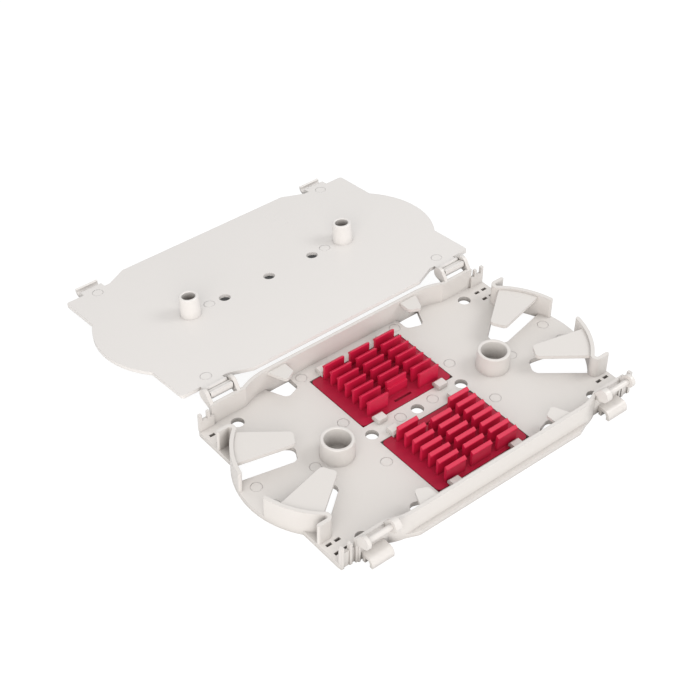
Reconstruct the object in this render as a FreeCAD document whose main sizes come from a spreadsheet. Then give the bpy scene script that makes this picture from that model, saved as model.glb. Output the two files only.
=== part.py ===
"""Fibre splice tray: a moulded tray, its hinged cover and two clip-in splice holders.

Units are millimetres. The tray rests on Z = 0 with its centre over the origin,
X along its length and +Y towards the hinge. The cover is modelled open, resting
on the table beside the tray.
"""

import math
import os

import FreeCAD
import Part
import Sketcher

V = FreeCAD.Vector

# Driving sizes in millimetres.
SIZES = {
    # outline shared by tray and cover
    "apex_x": 81.1,
    "end_x": 73.6,
    "end_half": 22.2,
    "tab_half": 43.1,
    "corner_round": 1.2,
    # floor and walls of the tray
    "floor_thick": 2.2,
    "wall_height": 9.5,
    "wall_thick": 1.5,
    "bulge_half": 48.5,
    "ledge_width": 1.9,
    "back_step": 1.5,
    "ledge_x": 41.0,
    "ledge_end_x": 46.3,
    "back_bend_x": 39.0,
    "back_bend": 26.0,
    "front_bend_x": 43.0,
    "front_bend": 18.0,
    "pocket_step": 4.45,
    "pocket_end": 67.2,
    # curved end walls and their hooked ends
    "end_wall_thick": 1.6,
    "end_wall_gap": 7.7,
    "hook_leg_y": 30.25,
    "hook_bend": 1.72,
    "hook_leg_end": 72.8,
    # flat tabs that keep the fibre down, and the floor windows below them
    "tab_thick": 1.5,
    "tab_lift": 7.0,
    "wedge_tip_x": 53.9,
    "wedge_tip_y": 7.5,
    "wedge_side_x": 50.5,
    "wedge_side_y": 13.3,
    "wedge_from": 21.5,
    "wedge_to": 48.5,
    "wedge_round": 1.8,
    "window_tip_lead": 0.3,
    "window_tip_drop": 0.9,
    "window_side_lead": 0.8,
    "window_side_rise": 0.1,
    "window_spread": 1.8,
    "window_round": 3.0,
    "clasp_near_x": 29.8,
    "clasp_tip_x": 34.8,
    "clasp_far_x": 38.7,
    "clasp_near_y": 39.8,
    "clasp_far_y": 37.3,
    "clasp_round": 1.5,
    "clasp_window": 1.0,
    "front_clasp_window": 1.6,
    "clasp_window_near": 1.5,
    "clasp_window_round": 2.5,
    # spools and holes
    "spool_x": 40.0,
    "spool_od": 13.6,
    "spool_id": 10.5,
    "spool_tip_od": 13.4,
    "spool_height": 8.5,
    "rim_edge": 0.3,
    "mid_hole": 5.2,
    "mid_hole_x": 23.0,
    "corner_hole": 5.3,
    "corner_hole_x": 59.0,
    "corner_hole_y": 37.4,
    "tie_long": 2.4,
    "tie_wide": 1.3,
    "tie_x": 66.7,
    "tie_pitch_x": 3.9,
    "tie_y": 33.0,
    "tie_pitch_y": 4.9,
    # comb walls at the four corners
    "comb_thick": 1.3,
    "comb_height": 5.3,
    "comb_post": 8.4,
    "comb_mid_x": 68.4,
    "comb_mid_long": 1.2,
    "comb_corner_long": 1.3,
    "comb_proud": 0.5,
    "comb_rib_x": 65.5,
    "comb_rib_long": 0.8,
    "comb_rib_top": 8.0,
    # hinge line and latch line
    "rod_gap": 1.25,
    "rod_z": 13.2,
    "rod_size": 2.3,
    "ear_round": 2.7,
    "ear_in_x": 52.8,
    "ear_out_x": 65.5,
    "ear_thick": 1.6,
    "latch_ear_x": 51.6,
    "ear_root_z": 8.9,
    # stacking hooks on the front edge
    "stack_x": 54.6,
    "stack_long": 10.2,
    "stack_top": 1.9,
    "stack_wall": 1.4,
    "stack_gap": 2.6,
    "stack_round": 2.7,
    "stack_foot_z": 0.2,
    # splice holders
    "holder_long": 45.8,
    "holder_wide": 32.8,
    "holder_thick": 1.4,
    "holder_y": 21.7,
    "holder_round": 2.0,
    "holder_fit": 0.3,
    "fin_height": 7.5,
    "fin_thick": 1.2,
    "fin_long": 9.8,
    "fin_pitch": 4.5,
    "fin_column": 13.0,
    "fin_shift": 0.5,
    "fin_edge": 0.3,
    "barb": 0.55,
    "barb_edge": 0.2,
    "barb_top": 0.8,
    "barb_low": 1.1,
    "barb_foot": 1.9,
    "slot_long": 8.5,
    "slot_wide": 1.1,
    "shelf_height": 4.4,
    "shelf_deep": 0.9,
    # lugs that hold the splice holders down
    "lug_x": 15.5,
    "lug_wide": 4.3,
    "lug_deep": 2.8,
    "lug_height": 2.3,
    "lug_reach": 1.2,
    "lug_fit": 0.1,
    # cover
    "cover_thick": 1.6,
    "cover_near_step": 1.15,
    "cover_far_step": 0.4,
    "cover_bend_x": 42.8,
    "cover_notch_gap": 0.5,
    "post_od": 8.8,
    "post_tip_od": 8.2,
    "post_id": 5.6,
    "post_height": 9.1,
    "cover_hole": 4.9,
    "clip_side_gap": 0.4,
    "clip_size": 4.9,
    "clip_fit": 0.08,
    "clip_snap": 0.4,
    "clip_flare": 2.6,
    "clip_lip": 1.5,
    "latch_play": 0.4,
    "latch_lip": 0.8,
}

# Sizes that follow from others.
DERIVED = {
    "pocket_half": "=bulge_half - wall_thick - pocket_step",
    "rod_y": "=pocket_half + wall_thick + rod_gap + clip_size / 2",
    "stack_out_y": "=rod_y + clip_size / 2",
    "window_tip_x": "=wedge_tip_x - window_tip_lead",
    "window_tip_y": "=wedge_tip_y - window_tip_drop",
    "window_side_x": "=wedge_side_x - window_side_lead",
    "window_side_y": "=wedge_side_y + window_side_rise",
    "cover_near_half": "=bulge_half - cover_near_step",
    "cover_far_half": "=bulge_half - cover_far_step",
    "cover_notch_x": "=ear_in_x - cover_notch_gap",
    "clip_x": "=ear_in_x + ear_thick + clip_side_gap",
    "clip_long": "=ear_out_x - clip_side_gap - clip_x",
    "clip_mouth": "=rod_size - clip_snap",
    "latch_mouth": "=rod_size + latch_play",
}

FIN_ROWS = 7

# How far a raised feature reaches into the plate it stands on.
SUNK = 0.2

doc = FreeCAD.newDocument("splice_tray")
sheet = doc.addObject("Spreadsheet::Sheet", "dims")
for row, (word, value) in enumerate({**SIZES, **DERIVED}.items(), start=1):
    sheet.set("A%d" % row, word)
    sheet.set("B%d" % row, str(value))
    sheet.setAlias("B%d" % row, word)
doc.recompute()


def size(word):
    """Value of a driving or a derived size."""
    return float(sheet.get(word))


# Outlines

def line_to(x, y):
    """Step of an outline: a straight run."""
    return ("line", V(x, y, 0))


def arc_to(mid, end):
    """Step of an outline: an arc through one point to another."""
    return ("arc", V(mid[0], mid[1], 0), V(end[0], end[1], 0))


def on_circle(centre, radius, degrees):
    """Point at an angle on a circle."""
    turn = math.radians(degrees)
    return (centre[0] + radius * math.cos(turn), centre[1] + radius * math.sin(turn))


def turn_to(centre, radius, start, end):
    """Arc step about a centre from one angle to another, in degrees."""
    return arc_to(on_circle(centre, radius, (start + end) / 2), on_circle(centre, radius, end))


def closed(start, steps):
    """Sketch geometry of a closed outline."""
    at = V(start[0], start[1], 0)
    first = at
    drawn = []
    for step in steps:
        if step[0] == "line":
            if at.distanceToPoint(step[1]) > 1e-6:
                drawn.append(Part.LineSegment(at, step[1]))
        else:
            drawn.append(Part.Arc(at, step[1], step[2]))
        at = step[-1]
    if at.distanceToPoint(first) > 1e-6:
        drawn.append(Part.LineSegment(at, first))
    return drawn


def rounded(corners):
    """Closed outline of straight sides; each corner is x, y and its rounding."""
    steps = []
    count = len(corners)
    for index, (x, y, radius) in enumerate(corners):
        here = V(x, y, 0)
        before = V(*corners[index - 1][:2], 0) - here
        after = V(*corners[(index + 1) % count][:2], 0) - here
        if radius == 0:
            steps.append(line_to(x, y))
            continue
        half = before.getAngle(after) / 2
        back = radius / math.tan(half)
        begin = here + before.normalize() * back
        end = here + after.normalize() * back
        inward = (before + after).normalize()
        centre = here + inward * (radius / math.sin(half))
        mid = centre - inward * radius
        steps.append(line_to(begin.x, begin.y))
        steps.append(arc_to((mid.x, mid.y), (end.x, end.y)))
    last = steps[-1][-1]
    return closed((last.x, last.y), steps)


def box_outline(x0, y0, x1, y1, radius=0):
    """Rectangle with rounded corners."""
    return rounded([(x0, y0, radius), (x1, y0, radius), (x1, y1, radius), (x0, y1, radius)])


def flip(points, side):
    """Corners mirrored to the back (1) or the front (-1) of the tray."""
    return [(x, side * y, radius) for x, y, radius in points]


def flip_steps(steps, x_way, y_way):
    """Steps of an outline, mirrored where a way is -1."""
    return [(step[0],) + tuple(V(x_way * p.x, y_way * p.y, 0) for p in step[1:]) for step in steps]


# Features

def new_body(label):
    """Empty body of one piece."""
    body = doc.addObject("PartDesign::Body", label)
    body.Label = label
    return body


def plane_of(body, role):
    """Origin plane of a body."""
    return [item for item in body.Origin.OriginFeatures if item.Role == role][0]


def sketch(body, name, role, outlines, offset="0", shift_x="0"):
    """Sketch of closed outlines on an origin plane moved along its normal."""
    made = body.newObject("Sketcher::SketchObject", name)
    made.AttachmentSupport = (plane_of(body, role), [""])
    made.MapMode = "FlatFace"
    made.setExpression("AttachmentOffset.Base.z", offset)
    made.setExpression("AttachmentOffset.Base.x", shift_x)
    for drawn in outlines:
        made.addGeometry(drawn, False)
    return made


def circles(body, name, spots, diameter, offset="0"):
    """Sketch of equal circles, their size tied to a driving size."""
    made = sketch(body, name, "XY_Plane", [], offset)
    for index, (x, y) in enumerate(spots):
        made.addGeometry(Part.Circle(V(x, y, 0), V(0, 0, 1), size(diameter) / 2), False)
        made.addConstraint(Sketcher.Constraint("Diameter", index, size(diameter)))
        made.setExpression("Constraints[%d]" % index, "dims." + diameter)
    return made


def pad(body, name, profile, length):
    """Pad along the normal of its sketch."""
    made = body.newObject("PartDesign::Pad", name)
    made.Profile = profile
    made.setExpression("Length", length)
    profile.Visibility = False
    return made


def pocket(body, name, profile, depth=None):
    """Pocket against the normal of its sketch, through everything when no depth is given."""
    made = body.newObject("PartDesign::Pocket", name)
    made.Profile = profile
    if depth is None:
        made.Type = "ThroughAll"
    else:
        made.setExpression("Length", depth)
    profile.Visibility = False
    return made


def turned(body, name, profile):
    """Ring turned about the vertical axis of its sketch."""
    made = body.newObject("PartDesign::Revolution", name)
    made.Profile = profile
    made.ReferenceAxis = (profile, ["V_Axis"])
    made.Angle = 360
    profile.Visibility = False
    return made


def mirror_whole(body, name):
    """Second half of a piece, mirrored from the first."""
    made = body.newObject("PartDesign::Mirrored", name)
    made.MirrorPlane = (plane_of(body, "YZ_Plane"), [""])
    made.TransformMode = "Whole shape"
    body.Tip = made
    return made


# Shared outline of the ends

def end_bend():
    """Radius of the arched ends and the X of their centre."""
    rise = size("apex_x") - size("end_x")
    radius = (rise ** 2 + size("end_half") ** 2) / (2 * rise)
    return radius, size("apex_x") - radius


def end_steps(centre_y, half):
    """Right-hand end from its front corner to its back corner."""
    soft = size("corner_round")
    diagonal = soft * (1 - math.sqrt(0.5))
    edge = size("end_x")
    front = centre_y - half
    back = centre_y + half
    return [
        line_to(edge - soft, front),
        arc_to((edge - diagonal, front + diagonal), (edge, front + soft)),
        line_to(edge, centre_y - size("end_half")),
        arc_to((size("apex_x"), centre_y), (edge, centre_y + size("end_half"))),
        line_to(edge, back - soft),
        arc_to((edge - diagonal, back - diagonal), (edge - soft, back)),
    ]


# Tray

def wall_bend(side, thickness):
    """Centre, radius and end angle of a long wall's bend, drawn as at the back."""
    inner_y = size("bulge_half") - size("wall_thick")
    where = "back" if side > 0 else "front"
    inner_y -= size("back_step" if side > 0 else "ledge_width")
    bend = size(where + "_bend")
    centre = (size(where + "_bend_x"), inner_y - bend)
    level = size("pocket_half") + thickness
    angle = math.degrees(math.asin((level - centre[1]) / (bend + thickness)))
    return centre, bend + thickness, angle


def floor_outline():
    """Right half of the floor."""
    thick = size("wall_thick")
    bulge = size("bulge_half")
    pocket_edge = size("pocket_half") + thick
    front_centre, front_radius, front_end = wall_bend(-1, thick)
    back_centre, back_radius, back_end = wall_bend(1, thick)
    ledge_run = size("ledge_end_x") - front_centre[0]
    ledge_end = math.degrees(math.acos(ledge_run / front_radius))
    steps = flip_steps([
        line_to(size("ledge_x"), bulge),
        line_to(*on_circle(front_centre, front_radius, ledge_end)),
        turn_to(front_centre, front_radius, ledge_end, front_end),
        line_to(size("pocket_end"), pocket_edge),
        line_to(size("pocket_end"), size("tab_half")),
    ], 1, -1)
    steps += end_steps(0, size("tab_half"))
    steps += [
        line_to(size("pocket_end"), size("tab_half")),
        line_to(size("pocket_end"), pocket_edge),
        line_to(*on_circle(back_centre, back_radius, back_end)),
        turn_to(back_centre, back_radius, back_end, 90),
        line_to(0, bulge - size("back_step")),
    ]
    return closed((0, -bulge), steps)


def long_wall_outline(side):
    """Right half of a long wall, bent in to the straight wall behind the clip."""
    thick = size("wall_thick")
    centre, in_radius, in_end = wall_bend(side, 0)
    out_radius, out_end = wall_bend(side, thick)[1:]
    outer_y = centre[1] + out_radius
    steps = [
        line_to(0, outer_y - thick),
        line_to(centre[0], outer_y - thick),
        turn_to(centre, in_radius, 90, in_end),
        line_to(size("pocket_end"), size("pocket_half")),
        line_to(size("pocket_end"), size("pocket_half") + thick),
        line_to(*on_circle(centre, out_radius, out_end)),
        turn_to(centre, out_radius, out_end, 90),
    ]
    return closed((0, side * outer_y), flip_steps(steps, 1, side))


def end_wall_outline(side):
    """Arched end wall that turns back into a short leg."""
    out_radius, centre_x = end_bend()
    half = size("end_wall_thick") / 2
    in_radius = out_radius - 2 * half
    middle = out_radius - half
    bend = size("hook_bend")
    leg = size("hook_leg_y")
    start = math.degrees(math.asin(size("end_wall_gap") / middle))
    finish = math.degrees(math.asin((leg - bend) / (middle + bend)))
    centre = (centre_x, 0)
    hook = on_circle(centre, middle + bend, finish)
    cap_middle = on_circle(centre, middle, start - math.degrees(half / middle))
    steps = [
        turn_to(centre, out_radius, start, finish),
        turn_to(hook, bend - half, finish + 180, 90),
        line_to(size("hook_leg_end"), leg - half),
        arc_to((size("hook_leg_end") + half, leg), (size("hook_leg_end"), leg + half)),
        line_to(hook[0], leg + half),
        turn_to(hook, bend + half, 90, finish + 180),
        turn_to(centre, in_radius, finish, start),
        arc_to(cap_middle, on_circle(centre, out_radius, start)),
    ]
    begin = on_circle(centre, out_radius, start)
    return closed((begin[0], side * begin[1]), flip_steps(steps, 1, side))


def wedge_outline(side, part, spread, base_radius):
    """Plan of a wedge tab, or of the window below it, with its base on an arc."""
    low = size("wedge_from") - spread
    high = size("wedge_to") + spread
    centre = (end_bend()[1], 0)
    base_mid = on_circle(centre, base_radius, (low + high) / 2)
    soft = size(part + "_round")
    corners = [
        (*on_circle(centre, base_radius, low), 0),
        (size(part + "_tip_x"), size(part + "_tip_y"), soft),
        (size(part + "_side_x"), size(part + "_side_y"), soft),
        (*on_circle(centre, base_radius, high), 0),
    ]
    drawn = rounded(flip(corners, side))
    base_line = drawn.pop(0)
    base = Part.Arc(base_line.StartPoint, V(base_mid[0], side * base_mid[1], 0), base_line.EndPoint)
    return [base] + drawn


def clasp_outline(side, base_y, near_margin=0, margin=0, word="clasp_round"):
    """Plan of a small tab on a long wall, or with margins of the window below it."""
    near = size("clasp_near_x") - near_margin
    soft = size(word)
    return rounded(flip([
        (near, base_y, 0),
        (near, size("clasp_near_y") - margin, soft),
        (size("clasp_tip_x") + margin / 2, size("clasp_far_y") - margin, soft),
        (size("clasp_far_x") + margin, base_y, 0),
    ], side))


def ear_outline(side):
    """Side view of a hinge ear (1) or a latch ear (-1), in Y and Z."""
    centre = (size("rod_y"), size("rod_z"))
    radius = size("ear_round")
    inside = size("pocket_half") + size("wall_thick") / 2
    low = (inside, size("ear_root_z"))
    high = (inside, size("floor_thick") + size("wall_height"))
    low_touch = tangent_point(low, centre, radius, -1)
    high_touch = tangent_point(high, centre, radius, 1)
    tip = (centre[0] + radius, centre[1])
    steps = [line_to(*low_touch), arc_to(tip, high_touch), line_to(*high)]
    return closed((side * low[0], low[1]), flip_steps(steps, side, 1))


def tangent_point(point, centre, radius, way):
    """Point where a line from a point touches a circle, above (1) or below (-1)."""
    away = math.hypot(point[0] - centre[0], point[1] - centre[1])
    facing = math.degrees(math.atan2(point[1] - centre[1], point[0] - centre[0]))
    spread = math.degrees(math.acos(radius / away))
    return on_circle(centre, radius, facing - way * spread)


def stack_hook_outline():
    """Side view of a stacking hook on the front edge, in Y and Z."""
    top = size("floor_thick") + size("stack_top")
    wall = size("stack_wall")
    outer = size("stack_out_y")
    bend = size("stack_round")
    foot = size("stack_foot_z")
    root = size("pocket_half") + size("wall_thick") - SUNK
    gap_out = outer - wall
    gap_in = gap_out - size("stack_gap")
    leg_in = gap_in - wall
    small = bend - wall
    slope = math.sqrt(0.5)
    return closed((-root, foot + wall), [
        line_to(-root, top),
        line_to(-(outer - bend), top),
        arc_to((-(outer - bend + bend * slope), top - bend + bend * slope), (-outer, top - bend)),
        line_to(-outer, foot),
        line_to(-gap_out, foot),
        line_to(-gap_out, top - bend),
        arc_to((-(gap_out - small + small * slope), top - bend + small * slope),
               (-(gap_out - small), top - wall)),
        line_to(-gap_in, top - wall),
        line_to(-gap_in, foot),
        line_to(-leg_in, foot),
        line_to(-leg_in, foot + wall),
    ])


def lug_outline(inner_edge, way):
    """Side view of a lug whose nose reaches over the edge of a splice holder."""
    base = size("floor_thick")
    top = base + size("lug_height")
    clear = inner_edge + way * size("holder_fit")
    heel = clear + way * size("lug_deep")
    nose = inner_edge - way * size("lug_reach")
    under = base + size("lug_fit")
    return closed((heel, base), [
        line_to(heel, top),
        line_to(nose + way * 0.9, top),
        line_to(nose, top - 0.9),
        line_to(nose, under),
        line_to(clear, under),
        line_to(clear, base),
    ])


def build_tray():
    """Tray: its right half, mirrored, then the middle hole."""
    body = new_body("tray")
    top = "dims.floor_thick"
    pad(body, "floor", sketch(body, "floor_plan", "XY_Plane", [floor_outline()]), top)

    walls = [long_wall_outline(side) for side in (1, -1)]
    pad(body, "long_walls", sketch(body, "long_wall_plan", "XY_Plane", walls, top),
        "dims.wall_height")
    ends = [end_wall_outline(1), end_wall_outline(-1)]
    pad(body, "end_walls", sketch(body, "end_wall_plan", "XY_Plane", ends, top),
        "dims.wall_height")

    add_keeper_tabs(body)
    add_spool(body)
    add_combs(body)
    add_rod_lines(body)
    pad(body, "stack_hook",
        sketch(body, "stack_hook_side", "YZ_Plane", [stack_hook_outline()], "dims.stack_x"),
        "dims.stack_long")
    add_holder_seats(body)
    add_floor_holes(body)
    mirror_whole(body, "other_half")
    pocket(body, "centre_hole", circles(body, "centre_hole_plan", [(0, 0)], "mid_hole", top))
    return body


def add_keeper_tabs(body):
    """Flat tabs over the fibre path and the windows the mould leaves below them."""
    out_radius = end_bend()[0]
    wall_in = out_radius - size("end_wall_thick")
    wall_mid = out_radius - size("end_wall_thick") / 2
    back = size("bulge_half") - size("wall_thick") - size("back_step")
    front = size("bulge_half") - size("wall_thick") - size("ledge_width")
    inside = size("wall_thick") / 2
    underside = "dims.floor_thick + dims.tab_lift"
    tabs = [wedge_outline(side, "wedge", 0, wall_mid) for side in (1, -1)]
    tabs.append(clasp_outline(1, back + inside))
    tabs.append(clasp_outline(-1, front + inside))
    pad(body, "keeper_tabs", sketch(body, "keeper_tab_plan", "XY_Plane", tabs, underside),
        "dims.tab_thick")
    windows = [wedge_outline(side, "window", size("window_spread"), wall_in) for side in (1, -1)]
    near_margin = size("clasp_window_near")
    for side, wall, word in ((1, back, "clasp_window"), (-1, front, "front_clasp_window")):
        windows.append(clasp_outline(side, wall, near_margin, size(word), "clasp_window_round"))
    pocket(body, "windows",
           sketch(body, "window_plan", "XY_Plane", windows, "dims.floor_thick"))


def tube_outline(base, height, foot_od, tip_od, bore):
    """Half section of an upright tube that narrows to a chamfered rim."""
    edge = size("rim_edge")
    top = base + height
    return closed((bore / 2, base - SUNK), [
        line_to(foot_od / 2, base - SUNK),
        line_to(tip_od / 2, top - edge),
        line_to(tip_od / 2 - edge, top),
        line_to(bore / 2 + edge, top),
        line_to(bore / 2, top - edge),
    ])


def add_spool(body):
    """Hollow spool, closed at the floor."""
    ring = tube_outline(size("floor_thick"), size("spool_height"),
                        size("spool_od"), size("spool_tip_od"), size("spool_id"))
    turned(body, "spool",
           sketch(body, "spool_side", "XZ_Plane", [ring], "0", "dims.spool_x"))


def add_combs(body):
    """Low walls with upright ribs at the outer corners; the front ribs start at the underside."""
    outer = size("tab_half")
    inner = outer - size("comb_thick")
    start = size("pocket_end") - 0.6
    last = size("end_x") - 0.2
    mid = size("comb_mid_x")
    spans = [(mid, mid + size("comb_mid_long")), (last - size("comb_corner_long"), last)]
    bases = [box_outline(start, side * inner, last, side * outer) for side in (1, -1)]
    pad(body, "comb_walls", sketch(body, "comb_wall_plan", "XY_Plane", bases, "dims.floor_thick"),
        "dims.comb_height")
    back = [box_outline(x0, inner, x1, outer) for x0, x1 in spans]
    pad(body, "comb_posts", sketch(body, "comb_post_plan", "XY_Plane", back, "dims.floor_thick"),
        "dims.comb_post")
    proud = outer + size("comb_proud")
    front = [box_outline(x0, -proud, x1, -inner) for x0, x1 in spans]
    pad(body, "comb_ribs", sketch(body, "comb_rib_plan", "XY_Plane", front),
        "dims.floor_thick + dims.comb_post")
    rib = size("comb_rib_x")
    edge = size("pocket_half") + size("wall_thick")
    low_rib = box_outline(rib, -edge - size("comb_proud"), rib + size("comb_rib_long"), SUNK - edge)
    pad(body, "latch_rib", sketch(body, "latch_rib_plan", "XY_Plane", [low_rib]),
        "dims.comb_rib_top")


def add_rod_lines(body):
    """Hinge ears at the back, latch ears at the front and the rods between them."""
    hinge_ear = ear_outline(1)
    latch_ear = ear_outline(-1)
    pad(body, "inner_hinge_ear",
        sketch(body, "inner_hinge_ear_side", "YZ_Plane", [hinge_ear], "dims.ear_in_x"),
        "dims.ear_thick")
    pad(body, "inner_latch_ear",
        sketch(body, "inner_latch_ear_side", "YZ_Plane", [latch_ear], "dims.latch_ear_x"),
        "dims.ear_in_x + dims.ear_thick - dims.latch_ear_x")
    pad(body, "outer_ears",
        sketch(body, "outer_ear_side", "YZ_Plane", [hinge_ear, latch_ear], "dims.ear_out_x"),
        "dims.ear_thick")
    rods = sketch(body, "rod_side", "YZ_Plane", [], "dims.ear_in_x + dims.ear_thick / 2")
    for index, side in enumerate((1, -1)):
        centre = V(side * size("rod_y"), size("rod_z"), 0)
        rods.addGeometry(Part.Circle(centre, V(0, 0, 1), size("rod_size") / 2), False)
        rods.addConstraint(Sketcher.Constraint("Diameter", index, size("rod_size")))
        rods.setExpression("Constraints[%d]" % index, "dims.rod_size")
    pad(body, "rods", rods, "dims.ear_out_x - dims.ear_in_x")


def add_holder_seats(body):
    """Recesses for the splice holders and the lugs that keep them in."""
    fit = size("holder_fit")
    reach = size("holder_long") / 2 + fit
    half = size("holder_wide") / 2
    middle = size("holder_y")
    seats = []
    lugs = []
    for side in (1, -1):
        near = middle - half
        far = middle + half
        seats.append(box_outline(0, side * (near - fit), reach, side * (far + fit)))
        lugs.append(lug_outline(side * far, side))
        lugs.append(lug_outline(side * near, -side))
    pocket(body, "holder_seats",
           sketch(body, "holder_seat_plan", "XY_Plane", seats, "dims.floor_thick"),
           "dims.holder_thick")
    pad(body, "lugs",
        sketch(body, "lug_side", "YZ_Plane", lugs, "dims.lug_x - dims.lug_wide / 2"),
        "dims.lug_wide")


def add_floor_holes(body):
    """Round holes and tie slots."""
    level = "dims.floor_thick"
    pocket(body, "mid_hole",
           circles(body, "mid_hole_plan", [(size("mid_hole_x"), 0)], "mid_hole", level))
    corner = [(size("corner_hole_x"), side * size("corner_hole_y")) for side in (1, -1)]
    pocket(body, "corner_holes",
           circles(body, "corner_hole_plan", corner, "corner_hole", level))
    slots = []
    half_x = size("tie_long") / 2
    half_y = size("tie_wide") / 2
    for side in (1, -1):
        for column in (0, 1):
            for line in (0, 1):
                x = size("tie_x") + column * size("tie_pitch_x")
                y = side * (size("tie_y") + line * size("tie_pitch_y"))
                slots.append(box_outline(x - half_x, y - half_y, x + half_x, y + half_y))
    pocket(body, "tie_slots", sketch(body, "tie_slot_plan", "XY_Plane", slots, level))


# Cover

def cover_outline():
    """Right half of the cover plate with the tongues that carry the clips."""
    centre = size("rod_y")
    tab = size("tab_half")
    near = size("cover_near_half")
    far = size("cover_far_half")
    tongue = centre - size("clip_size") / 2 + SUNK
    clip_in = size("clip_x")
    clip_out = clip_in + size("clip_long")

    def side_points(bulge):
        return [
            (size("cover_bend_x"), bulge),
            (size("cover_notch_x"), tab),
            (clip_in, tab),
            (clip_in, tongue),
            (clip_out, tongue),
            (clip_out, tab),
        ]

    steps = [line_to(x, centre - reach) for x, reach in side_points(near)]
    steps += end_steps(centre, tab)
    steps += [line_to(x, centre + reach) for x, reach in reversed(side_points(far))]
    steps.append(line_to(0, centre + far))
    return closed((0, centre - near), steps)


def hinge_clip_outline():
    """Side view of a hinge clip that wraps the rod and snaps over it through a flared mouth."""
    bore = size("rod_size") / 2 + size("clip_fit")
    outer = size("clip_size") / 2
    lip = size("clip_lip")
    flare = size("clip_flare") / 2
    mouth = math.degrees(math.acos(size("clip_mouth") / 2 / bore))
    return closed((-outer, lip), [
        line_to(-outer, 0),
        arc_to((0, -outer), (outer, 0)),
        line_to(outer, lip),
        line_to(flare, lip),
        line_to(*on_circle((0, 0), bore, mouth)),
        turn_to((0, 0), bore, mouth, -180 - mouth),
        line_to(-flare, lip),
    ])


def latch_clip_outline():
    """Side view of a latch clip, open towards the tray."""
    far = 2 * size("rod_y")
    outer = size("clip_size") / 2
    inner = size("latch_mouth") / 2
    lip = size("latch_lip")
    cap = (outer - inner) / 2
    return closed((far - outer, lip - cap), [
        line_to(far - outer, 0),
        arc_to((far, -outer), (far + outer, 0)),
        line_to(far + outer, lip - cap),
        arc_to((far + inner + cap, lip), (far + inner, lip - cap)),
        line_to(far + inner, 0),
        arc_to((far, -inner), (far - inner, 0)),
        line_to(far - inner, lip - cap),
        arc_to((far - inner - cap, lip), (far - outer, lip - cap)),
    ])


def build_cover():
    """Cover in its own frame: hinge line on X, plate along +Y, inner face up."""
    body = new_body("cover")
    half = "dims.cover_thick / 2"
    centre = size("rod_y")
    pad(body, "plate", sketch(body, "plate_plan", "XY_Plane", [cover_outline()], "-" + half),
        "dims.cover_thick")
    pad(body, "hinge_clip",
        sketch(body, "hinge_clip_side", "YZ_Plane", [hinge_clip_outline()], "dims.clip_x"),
        "dims.clip_long")
    pad(body, "latch_clip",
        sketch(body, "latch_clip_side", "YZ_Plane", [latch_clip_outline()], "dims.clip_x"),
        "dims.clip_long")
    add_post(body)
    pocket(body, "plate_hole",
           circles(body, "plate_hole_plan", [(size("mid_hole_x"), centre)], "cover_hole", half))
    mirror_whole(body, "other_half_of_cover")
    pocket(body, "plate_centre_hole",
           circles(body, "plate_centre_hole_plan", [(0, centre)], "cover_hole", half))
    return body


def add_post(body):
    """Hollow post that drops into a spool of the tray."""
    ring = tube_outline(size("cover_thick") / 2, size("post_height"),
                        size("post_od"), size("post_tip_od"), size("post_id"))
    profile = sketch(body, "post_side", "XZ_Plane", [ring], "-dims.rod_y", "dims.spool_x")
    turned(body, "post", profile)


# Splice holders

def fin_outline(row_y, bottom, shelf):
    """Side view of a fin with a sloped top, a barb and, where asked, a shelf in front."""
    half = size("fin_thick") / 2
    edge = size("fin_edge")
    top = bottom + size("fin_height")
    foot = bottom - SUNK
    front = row_y - half
    back = row_y + half
    nose = back + size("barb")
    steps = [
        line_to(front, top - edge),
        line_to(front + edge, top),
        line_to(nose - size("barb_edge"), top - size("barb_top")),
        line_to(nose, top - size("barb_low")),
        line_to(back, top - size("barb_foot")),
        line_to(back, foot),
    ]
    if not shelf:
        return closed((front, foot), steps)
    level = bottom + size("shelf_height")
    shelf_y = front - size("shelf_deep")
    return closed((shelf_y, foot), [line_to(shelf_y, level), line_to(front, level)] + steps)


def build_holder(label):
    """Splice holder: a flat base with three columns of springy fins."""
    body = new_body(label)
    half_x = size("holder_long") / 2
    half_y = size("holder_wide") / 2
    thick = "dims.holder_thick"
    base = [box_outline(-half_x, -half_y, half_x, half_y, size("holder_round"))]
    pad(body, label + "_base", sketch(body, label + "_base_plan", "XY_Plane", base), thick)
    bottom = size("holder_thick")
    first = size("fin_shift") - size("fin_pitch") * (FIN_ROWS - 1) / 2
    rows = [first + size("fin_pitch") * index for index in range(FIN_ROWS)]
    side_fins = [fin_outline(y, bottom, False) for y in rows]
    side = pad(body, label + "_side_fins",
               sketch(body, label + "_side_fin_side", "YZ_Plane", side_fins,
                      "-dims.fin_column - dims.fin_long / 2"),
               "dims.fin_long")
    pattern = body.newObject("PartDesign::LinearPattern", label + "_fin_columns")
    pattern.Originals = [side]
    pattern.Direction = (plane_of(body, "YZ_Plane"), [""])
    pattern.setExpression("Length", "2 * dims.fin_column")
    pattern.Occurrences = 2
    body.Tip = pattern
    middle_fins = [fin_outline(y, bottom, index == 0) for index, y in enumerate(rows[1:])]
    pad(body, label + "_middle_fins",
        sketch(body, label + "_middle_fin_side", "YZ_Plane", middle_fins, "-dims.fin_long / 2"),
        "dims.fin_long")
    slot_x = size("slot_long") / 2
    slot_y = size("slot_wide") / 2
    slot = [box_outline(-slot_x, rows[0] - slot_y, slot_x, rows[0] + slot_y)]
    pocket(body, label + "_slot", sketch(body, label + "_slot_plan", "XY_Plane", slot, thick))
    return body


tray = build_tray()
cover = build_cover()
holders = [build_holder("splice_holder_back"), build_holder("splice_holder_front")]
doc.recompute()

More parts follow.
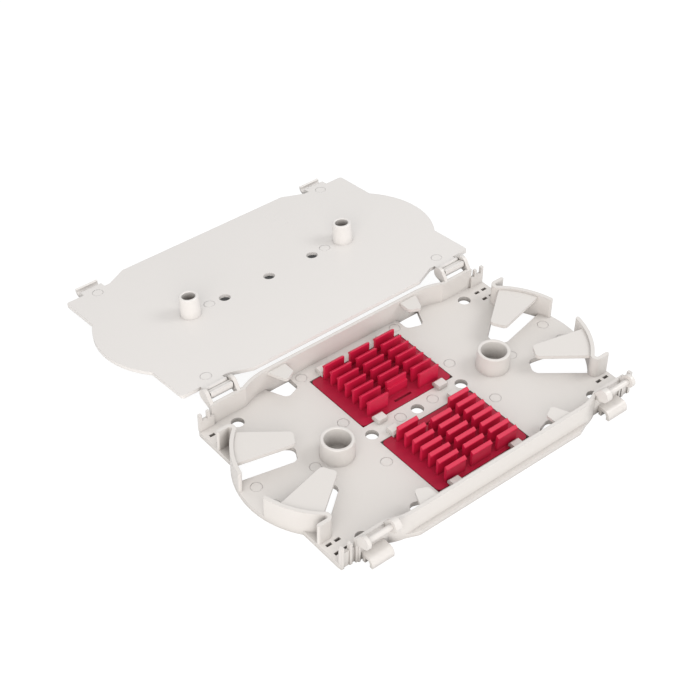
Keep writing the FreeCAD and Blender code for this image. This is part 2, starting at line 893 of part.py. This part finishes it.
reach = 2 * size("rod_y")
drop = size("rod_z") - size("clip_size") / 2
tilt = math.degrees(math.asin(drop / reach))
cover.Placement = FreeCAD.Placement(
    V(0, size("rod_y"), size("rod_z")), FreeCAD.Rotation(V(1, 0, 0), -tilt))
seat = size("floor_thick") - size("holder_thick")
for holder, side, turn in zip(holders, (1, -1), (0, 180)):
    holder.Placement = FreeCAD.Placement(
        V(0, side * size("holder_y"), seat), FreeCAD.Rotation(V(0, 0, 1), turn))
doc.recompute()

for thing in doc.Objects:
    if "Invalid" in thing.State or "Error" in thing.State:
        raise RuntimeError("feature failed: " + thing.Label)

os.makedirs("parts", exist_ok=True)
for body in [tray, cover] + holders:
    shape = body.Shape
    if shape.isNull() or not shape.isValid() or len(shape.Solids) != 1:
        raise RuntimeError("bad solid: " + body.Label)
    shape.exportStep("parts/" + body.Label + ".step")
    print(body.Label, "volume", round(shape.Volume), shape.BoundBox)
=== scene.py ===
"""Looks, light and camera for the fibre splice tray, in metres, in the frame of its solids."""

import math

import bpy
from mathutils import Matrix, Vector


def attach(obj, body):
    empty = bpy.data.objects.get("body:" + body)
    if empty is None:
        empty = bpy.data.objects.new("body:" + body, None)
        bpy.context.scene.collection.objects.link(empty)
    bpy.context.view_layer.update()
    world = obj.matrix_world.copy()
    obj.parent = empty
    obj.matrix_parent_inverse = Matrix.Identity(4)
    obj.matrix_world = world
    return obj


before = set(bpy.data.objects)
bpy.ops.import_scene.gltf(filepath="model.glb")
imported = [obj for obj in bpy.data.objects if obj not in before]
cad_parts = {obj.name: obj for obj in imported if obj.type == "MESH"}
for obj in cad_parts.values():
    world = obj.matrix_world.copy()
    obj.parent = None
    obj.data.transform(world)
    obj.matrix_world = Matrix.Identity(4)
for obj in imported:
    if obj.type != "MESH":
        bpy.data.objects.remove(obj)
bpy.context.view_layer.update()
scene = bpy.context.scene

MM = 0.001
WHITE = (1.0, 1.0, 1.0)
BLACK = (0.0, 0.0, 0.0)

# Camera, from a fit of known points of the tray to their places in the photograph.
CAMERA_PLACE = Vector((-298.76, -316.21, 414.45)) * MM
CAMERA_RIGHT = Vector((0.7736, -0.6336, 0.0111))
CAMERA_FORWARD = Vector((0.4812, 0.5759, -0.6609))
CAMERA_LENS = 79.17
CAMERA_SENSOR = 36.0
CAMERA_NEAR = 0.01
CAMERA_FAR = 20.0

# Moulded colours, linear.
TRAY_COLOUR = (0.700, 0.672, 0.645)
COVER_COLOUR = (0.775, 0.750, 0.728)
HOLDER_COLOUR = (0.605, 0.012, 0.058)

# Share of the colour that is left in the depth of a hollow, where painted shade darkens it.
PALE_HOLLOW_SHADE = 0.25
RED_HOLLOW_SHADE = 0.80

# Surfaces of the pale pieces and of the red holders.
PALE_SURFACE = {"roughness": 0.30, "gloss": 0.50, "grain": 0.25}
RED_SURFACE = {"roughness": 0.40, "gloss": 0.35, "grain": 0.20}

# Painted shade: the holders grow darker from a height down to their foot, to this share of
# their colour.
FOOT_SHADE_TONE = 0.68
FOOT_SHADE_HEIGHTS = (2.3 * MM, 4.0 * MM)

# Painted shade in hollows: how far the surfaces around a hollow reach into its shade, the
# openness over which the shade falls, and the warm tint of its depth.
HOLLOW_SHADE_REACH = 8 * MM
HOLLOW_SHADE_RANGE = (0.10, 0.65)
HOLLOW_SHADE_TINT = (1.0, 0.93, 0.87)
HOLLOW_SHADE_SAMPLES = 8

# Noise, in cycles per metre and octaves: flow marks in the colour, patches in the gloss and a
# fine grain in the surface, each with its strength.
FLOW = (22.0, 3.0)
FLOW_TONE = 0.03
PATCHES = (60.0, 2.0)
PATCH_SPREAD = 0.06
GRAIN = (2600.0, 2.0)
GRAIN_DEPTH = 0.02 * MM

EDGE_ROUND = 0.25 * MM
EDGE_SAMPLES = 4

# Hinge line and open angle of the cover, and the top faces that carry ejector marks,
# in millimetres.
ROD_Y = 47.75
ROD_Z = 13.2
COVER_TILT = math.radians(6.463)
TRAY_FLOOR = 2.2
COVER_FACE = 0.8

# Ejector marks: centres in millimetres, and the section of the witness ring around each.
TRAY_MARKS = [
    (24.4, 42.0), (-24.4, 42.0), (24.4, -42.0), (-24.4, -42.0),
    (27.5, 11.8), (-27.5, 11.8), (28.0, -14.5), (-28.0, -14.5),
    (50.5, 0.0), (-50.5, 0.0), (8.3, 0.4), (-8.3, 0.4),
    (73.8, 5.5), (-73.8, 5.5), (73.8, -5.5), (-73.8, -5.5),
]
COVER_MARKS = [
    (59.7, 8.8), (-59.7, 8.8), (59.7, 88.4), (-59.7, 88.4), (30.4, 48.3), (-30.4, 48.3),
]
MARK_SECTION = [(2.00, -0.02), (2.10, 0.014), (2.18, 0.014), (2.60, -0.01)]
MARK_STEPS = 64

# Table: its reach and its drop below the piece, the glow and shade that the camera sees, and
# the white that lights the piece from below.
FLOOR_REACH = 4.0
FLOOR_DROP = 0.05 * MM
FLOOR_GLOW = 0.93
FLOOR_SHADE = 0.14
FLOOR_WHITE = 0.80

# Painted shadow on the table behind the holes of the open cover: the glow left where a plate
# lies closer than a reach, the openness over which it falls, and the middle and the fading rim
# of that stretch of table.
COVER_SHADOW_GLOW = 0.07
COVER_SHADOW_REACH = 25 * MM
COVER_SHADOW_RANGE = (0.20, 0.50)
COVER_SHADOW_MIDDLE = (6 * MM, 104 * MM, 0)
COVER_SHADOW_RADIUS = (28 * MM, 33 * MM)

# Light: level of the surroundings, and two softboxes with place, width, power and colour.
WORLD_LEVEL = 0.745
LAMP_TARGET = (0, 0.04, 0)
KEY_LAMP = {"place": (0.46, -0.24, 0.52), "width": 0.30, "power": 1.25, "colour": WHITE}
FRONT_LAMP = {
    "place": (-0.60, -0.56, 0.46), "width": 0.80, "power": 5.6, "colour": (1.0, 0.96, 0.93),
}


# Materials

def opaque(colour):
    """Colour with full alpha, as the sockets hold it."""
    return (*colour, 1)


def new_material(name):
    """Material with an emptied node tree and its output."""
    made = bpy.data.materials.new(name)
    made.use_nodes = True
    tree = made.node_tree
    tree.nodes.clear()
    output = tree.nodes.new("ShaderNodeOutputMaterial")
    return made, tree, output


def mixed_colour(tree, factor, low, high):
    """Colour between two tones, by a factor socket."""
    mix = tree.nodes.new("ShaderNodeMix")
    mix.data_type = "RGBA"
    mix.inputs["A"].default_value = opaque(low)
    mix.inputs["B"].default_value = opaque(high)
    tree.links.new(factor, mix.inputs["Factor"])
    return mix.outputs["Result"]


def noise(tree, space, scale, detail):
    """Noise over the piece at a scale in cycles per metre."""
    made = tree.nodes.new("ShaderNodeTexNoise")
    made.inputs["Scale"].default_value = scale
    made.inputs["Detail"].default_value = detail
    tree.links.new(space, made.inputs["Vector"])
    return made.outputs["Fac"]


def remapped(tree, value, low, high, start=0.0, stop=1.0):
    """Value stretched from one range, 0..1 if none is named, to another."""
    made = tree.nodes.new("ShaderNodeMapRange")
    made.inputs["From Min"].default_value = start
    made.inputs["From Max"].default_value = stop
    made.inputs["To Min"].default_value = low
    made.inputs["To Max"].default_value = high
    tree.links.new(value, made.inputs["Value"])
    return made.outputs["Result"]


def object_place(tree):
    """Socket with the place on the piece, in its own frame."""
    return tree.nodes.new("ShaderNodeTexCoord").outputs["Object"]


def diffuse(tree, level):
    """Matt grey shader of a level."""
    made = tree.nodes.new("ShaderNodeBsdfDiffuse")
    made.inputs["Color"].default_value = opaque((level, level, level))
    return made.outputs["BSDF"]


def by_camera_ray(tree, seen, other):
    """One shader for what the camera sees directly, another for every other ray."""
    path = tree.nodes.new("ShaderNodeLightPath")
    mix = tree.nodes.new("ShaderNodeMixShader")
    tree.links.new(path.outputs["Is Camera Ray"], mix.inputs["Fac"])
    tree.links.new(other, mix.inputs[1])
    tree.links.new(seen, mix.inputs[2])
    return mix.outputs["Shader"]


def link_colour_and_painted_shade(tree, shader, place, colour, hollow_shade):
    """Base colour with faint flow marks, and painted shade: a deeper, warmer tone in hollows.
    """
    flow = noise(tree, place, *FLOW)
    darker = tuple(part * (1 - FLOW_TONE) for part in colour)
    shade = tree.nodes.new("ShaderNodeAmbientOcclusion")
    shade.samples = HOLLOW_SHADE_SAMPLES
    shade.inputs["Distance"].default_value = HOLLOW_SHADE_REACH
    open_part = remapped(tree, shade.outputs["AO"], 0.0, 1.0, *HOLLOW_SHADE_RANGE)
    shaded_deep = tuple(part * share * hollow_shade for part, share in zip(colour, HOLLOW_SHADE_TINT))
    hollow_shaded = mixed_colour(tree, open_part, shaded_deep, colour)
    tree.links.new(mixed_colour(tree, flow, darker, colour), hollow_shaded.node.inputs["B"])
    tree.links.new(hollow_shaded, shader.inputs["Base Color"])


def link_moulded_surface(tree, shader, place, roughness, grain):
    """Patches in the roughness, soft edges and a fine grain."""
    patches = remapped(
        tree, noise(tree, place, *PATCHES), roughness - PATCH_SPREAD, roughness + PATCH_SPREAD)
    tree.links.new(patches, shader.inputs["Roughness"])
    bevel = tree.nodes.new("ShaderNodeBevel")
    bevel.samples = EDGE_SAMPLES
    bevel.inputs["Radius"].default_value = EDGE_ROUND
    bump = tree.nodes.new("ShaderNodeBump")
    bump.inputs["Strength"].default_value = grain
    bump.inputs["Distance"].default_value = GRAIN_DEPTH
    tree.links.new(noise(tree, place, *GRAIN), bump.inputs["Height"])
    tree.links.new(bevel.outputs["Normal"], bump.inputs["Normal"])
    tree.links.new(bump.outputs["Normal"], shader.inputs["Normal"])


def moulded_plastic(name, colour, hollow_shade, roughness, gloss, grain):
    """Satin moulded plastic, with painted shade in its hollows."""
    made, tree, output = new_material(name)
    shader = tree.nodes.new("ShaderNodeBsdfPrincipled")
    place = object_place(tree)
    link_colour_and_painted_shade(tree, shader, place, colour, hollow_shade)
    shader.inputs["Specular IOR Level"].default_value = gloss
    link_moulded_surface(tree, shader, place, roughness, grain)
    tree.links.new(shader.outputs["BSDF"], output.inputs["Surface"])
    return made


def paint_foot_shade(made, tone, low, high):
    """Paints shade on a material: darkens it towards the foot of its piece, below a height
    down to another.
    """
    tree = made.node_tree
    shader = next(node for node in tree.nodes if node.type == "BSDF_PRINCIPLED")
    hollow_shaded = shader.inputs["Base Color"].links[0].from_socket
    parts = tree.nodes.new("ShaderNodeSeparateXYZ")
    tree.links.new(object_place(tree), parts.inputs["Vector"])
    level = remapped(tree, parts.outputs["Z"], tone, 1.0, low, high)
    foot_shaded = mixed_colour(tree, level, BLACK, WHITE)
    tree.links.new(hollow_shaded, foot_shaded.node.inputs["B"])
    tree.links.new(foot_shaded, shader.inputs["Base Color"])


def dress(node, material):
    """Gives a solid its material."""
    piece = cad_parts[node]
    piece.data.materials.clear()
    piece.data.materials.append(material)


def table_glow_with_painted_shadow(tree):
    """Glow of the table, even but for a painted shadow on the stretch seen through the holes
    of the open cover.
    """
    open_share = tree.nodes.new("ShaderNodeAmbientOcclusion")
    open_share.inputs["Distance"].default_value = COVER_SHADOW_REACH
    away = tree.nodes.new("ShaderNodeVectorMath")
    away.operation = "DISTANCE"
    away.inputs[1].default_value = COVER_SHADOW_MIDDLE
    tree.links.new(object_place(tree), away.inputs[0])
    beside = remapped(tree, away.outputs["Value"], 0.0, 1.0, *COVER_SHADOW_RADIUS)
    openness = tree.nodes.new("ShaderNodeMath")
    openness.operation = "MAXIMUM"
    tree.links.new(open_share.outputs["AO"], openness.inputs[0])
    tree.links.new(beside, openness.inputs[1])
    level = remapped(tree, openness.outputs["Value"], COVER_SHADOW_GLOW, FLOOR_GLOW, *COVER_SHADOW_RANGE)
    glow = tree.nodes.new("ShaderNodeEmission")
    tree.links.new(level, glow.inputs["Strength"])
    return glow.outputs["Emission"]


def floor_material():
    """White table: glow with a painted shadow behind the cover's holes and a faint shadow to
    the camera, plain white to other rays.
    """
    made, tree, output = new_material("studio_floor")
    seen = tree.nodes.new("ShaderNodeAddShader")
    tree.links.new(diffuse(tree, FLOOR_SHADE), seen.inputs[0])
    tree.links.new(table_glow_with_painted_shadow(tree), seen.inputs[1])
    both = by_camera_ray(tree, seen.outputs["Shader"], diffuse(tree, FLOOR_WHITE))
    tree.links.new(both, output.inputs["Surface"])
    return made


# Ejector marks

def ring_points(x, y, level):
    """Points of one witness ring, row after row around its centre, in millimetres."""
    for step in range(MARK_STEPS):
        turn = 2 * math.pi * step / MARK_STEPS
        for radius, height in MARK_SECTION:
            yield Vector((x + radius * math.cos(turn), y + radius * math.sin(turn),
                          level + height))


def ring_faces(base):
    """Faces of one witness ring whose points start at a number."""
    rows = len(MARK_SECTION)
    for step in range(MARK_STEPS):
        here = base + step * rows
        after = base + (step + 1) % MARK_STEPS * rows
        for row in range(rows):
            above = (row + 1) % rows
            yield (here + row, after + row, after + above, here + above)


def add_marks(name, spots, level, placement, body, material):
    """Witness rings of ejector pins: a small step inside, a gentle slope outside."""
    points = []
    faces = []
    for x, y in spots:
        faces += ring_faces(len(points))
        points += [placement @ (point * MM) for point in ring_points(x, y, level)]
    mesh = bpy.data.meshes.new(name)
    mesh.from_pydata(points, [], faces)
    mesh.materials.append(material)
    piece = bpy.data.objects.new(name, mesh)
    scene.collection.objects.link(piece)
    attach(piece, body)


# Studio

def build_floor():
    """Wide flat table under the object."""
    mesh = bpy.data.meshes.new("studio_floor")
    sides = [(-1, -1), (1, -1), (1, 1), (-1, 1)]
    corners = [(x * FLOOR_REACH, y * FLOOR_REACH, -FLOOR_DROP) for x, y in sides]
    mesh.from_pydata(corners, [], [(0, 1, 2, 3)])
    mesh.materials.append(floor_material())
    piece = bpy.data.objects.new("studio_floor", mesh)
    scene.collection.objects.link(piece)


def add_lamp(name, place, width, power, colour):
    """Square softbox aimed at the middle of the object."""
    lamp = bpy.data.lights.new(name, "AREA")
    lamp.shape = "SQUARE"
    lamp.size = width
    lamp.energy = power
    lamp.color = colour
    piece = bpy.data.objects.new(name, lamp)
    piece.location = place
    aim = Vector(LAMP_TARGET) - Vector(place)
    piece.rotation_euler = aim.to_track_quat("-Z", "Y").to_euler()
    scene.collection.objects.link(piece)


def background(tree, level):
    """White surroundings of a level."""
    made = tree.nodes.new("ShaderNodeBackground")
    made.inputs["Color"].default_value = opaque(WHITE)
    made.inputs["Strength"].default_value = level
    return made.outputs["Background"]


def build_world():
    """Even surroundings, plain white where the camera sees them."""
    world = bpy.data.worlds.new("studio")
    scene.world = world
    world.use_nodes = True
    tree = world.node_tree
    tree.nodes.clear()
    output = tree.nodes.new("ShaderNodeOutputWorld")
    both = by_camera_ray(tree, background(tree, 1.0), background(tree, WORLD_LEVEL))
    tree.links.new(both, output.inputs["Surface"])


def build_camera():
    """Camera at the photograph's place and angle."""
    data = bpy.data.cameras.new("camera")
    data.sensor_width = CAMERA_SENSOR
    data.sensor_fit = "HORIZONTAL"
    data.lens = CAMERA_LENS
    data.clip_start = CAMERA_NEAR
    data.clip_end = CAMERA_FAR
    camera = bpy.data.objects.new("camera", data)
    back = -CAMERA_FORWARD.normalized()
    right = CAMERA_RIGHT.normalized()
    up = back.cross(right).normalized()
    turn = Matrix((right, up, back)).transposed().to_4x4()
    camera.matrix_world = Matrix.Translation(CAMERA_PLACE) @ turn
    scene.collection.objects.link(camera)
    scene.camera = camera


# Each plastic gets painted shade in its hollows.
tray_plastic = moulded_plastic("tray_plastic", TRAY_COLOUR, PALE_HOLLOW_SHADE, **PALE_SURFACE)
cover_plastic = moulded_plastic("cover_plastic", COVER_COLOUR, PALE_HOLLOW_SHADE, **PALE_SURFACE)
holder_plastic = moulded_plastic("holder_plastic", HOLDER_COLOUR, RED_HOLLOW_SHADE, **RED_SURFACE)
# Painted shade at the foot of the red holders.
paint_foot_shade(holder_plastic, FOOT_SHADE_TONE, *FOOT_SHADE_HEIGHTS)
dress("tray", tray_plastic)
dress("cover", cover_plastic)
dress("splice_holder_back", holder_plastic)
dress("splice_holder_front", holder_plastic)

hinge = Matrix.Translation(Vector((0, ROD_Y, ROD_Z)) * MM)
open_cover = hinge @ Matrix.Rotation(-COVER_TILT, 4, "X")
add_marks("tray_marks", TRAY_MARKS, TRAY_FLOOR, Matrix.Identity(4), "tray_body", tray_plastic)
add_marks("cover_marks", COVER_MARKS, COVER_FACE, open_cover, "cover_body", cover_plastic)

build_floor()
build_world()
add_lamp("key_lamp", **KEY_LAMP)
add_lamp("front_lamp", **FRONT_LAMP)
build_camera()

scene.view_settings.view_transform = "Standard"
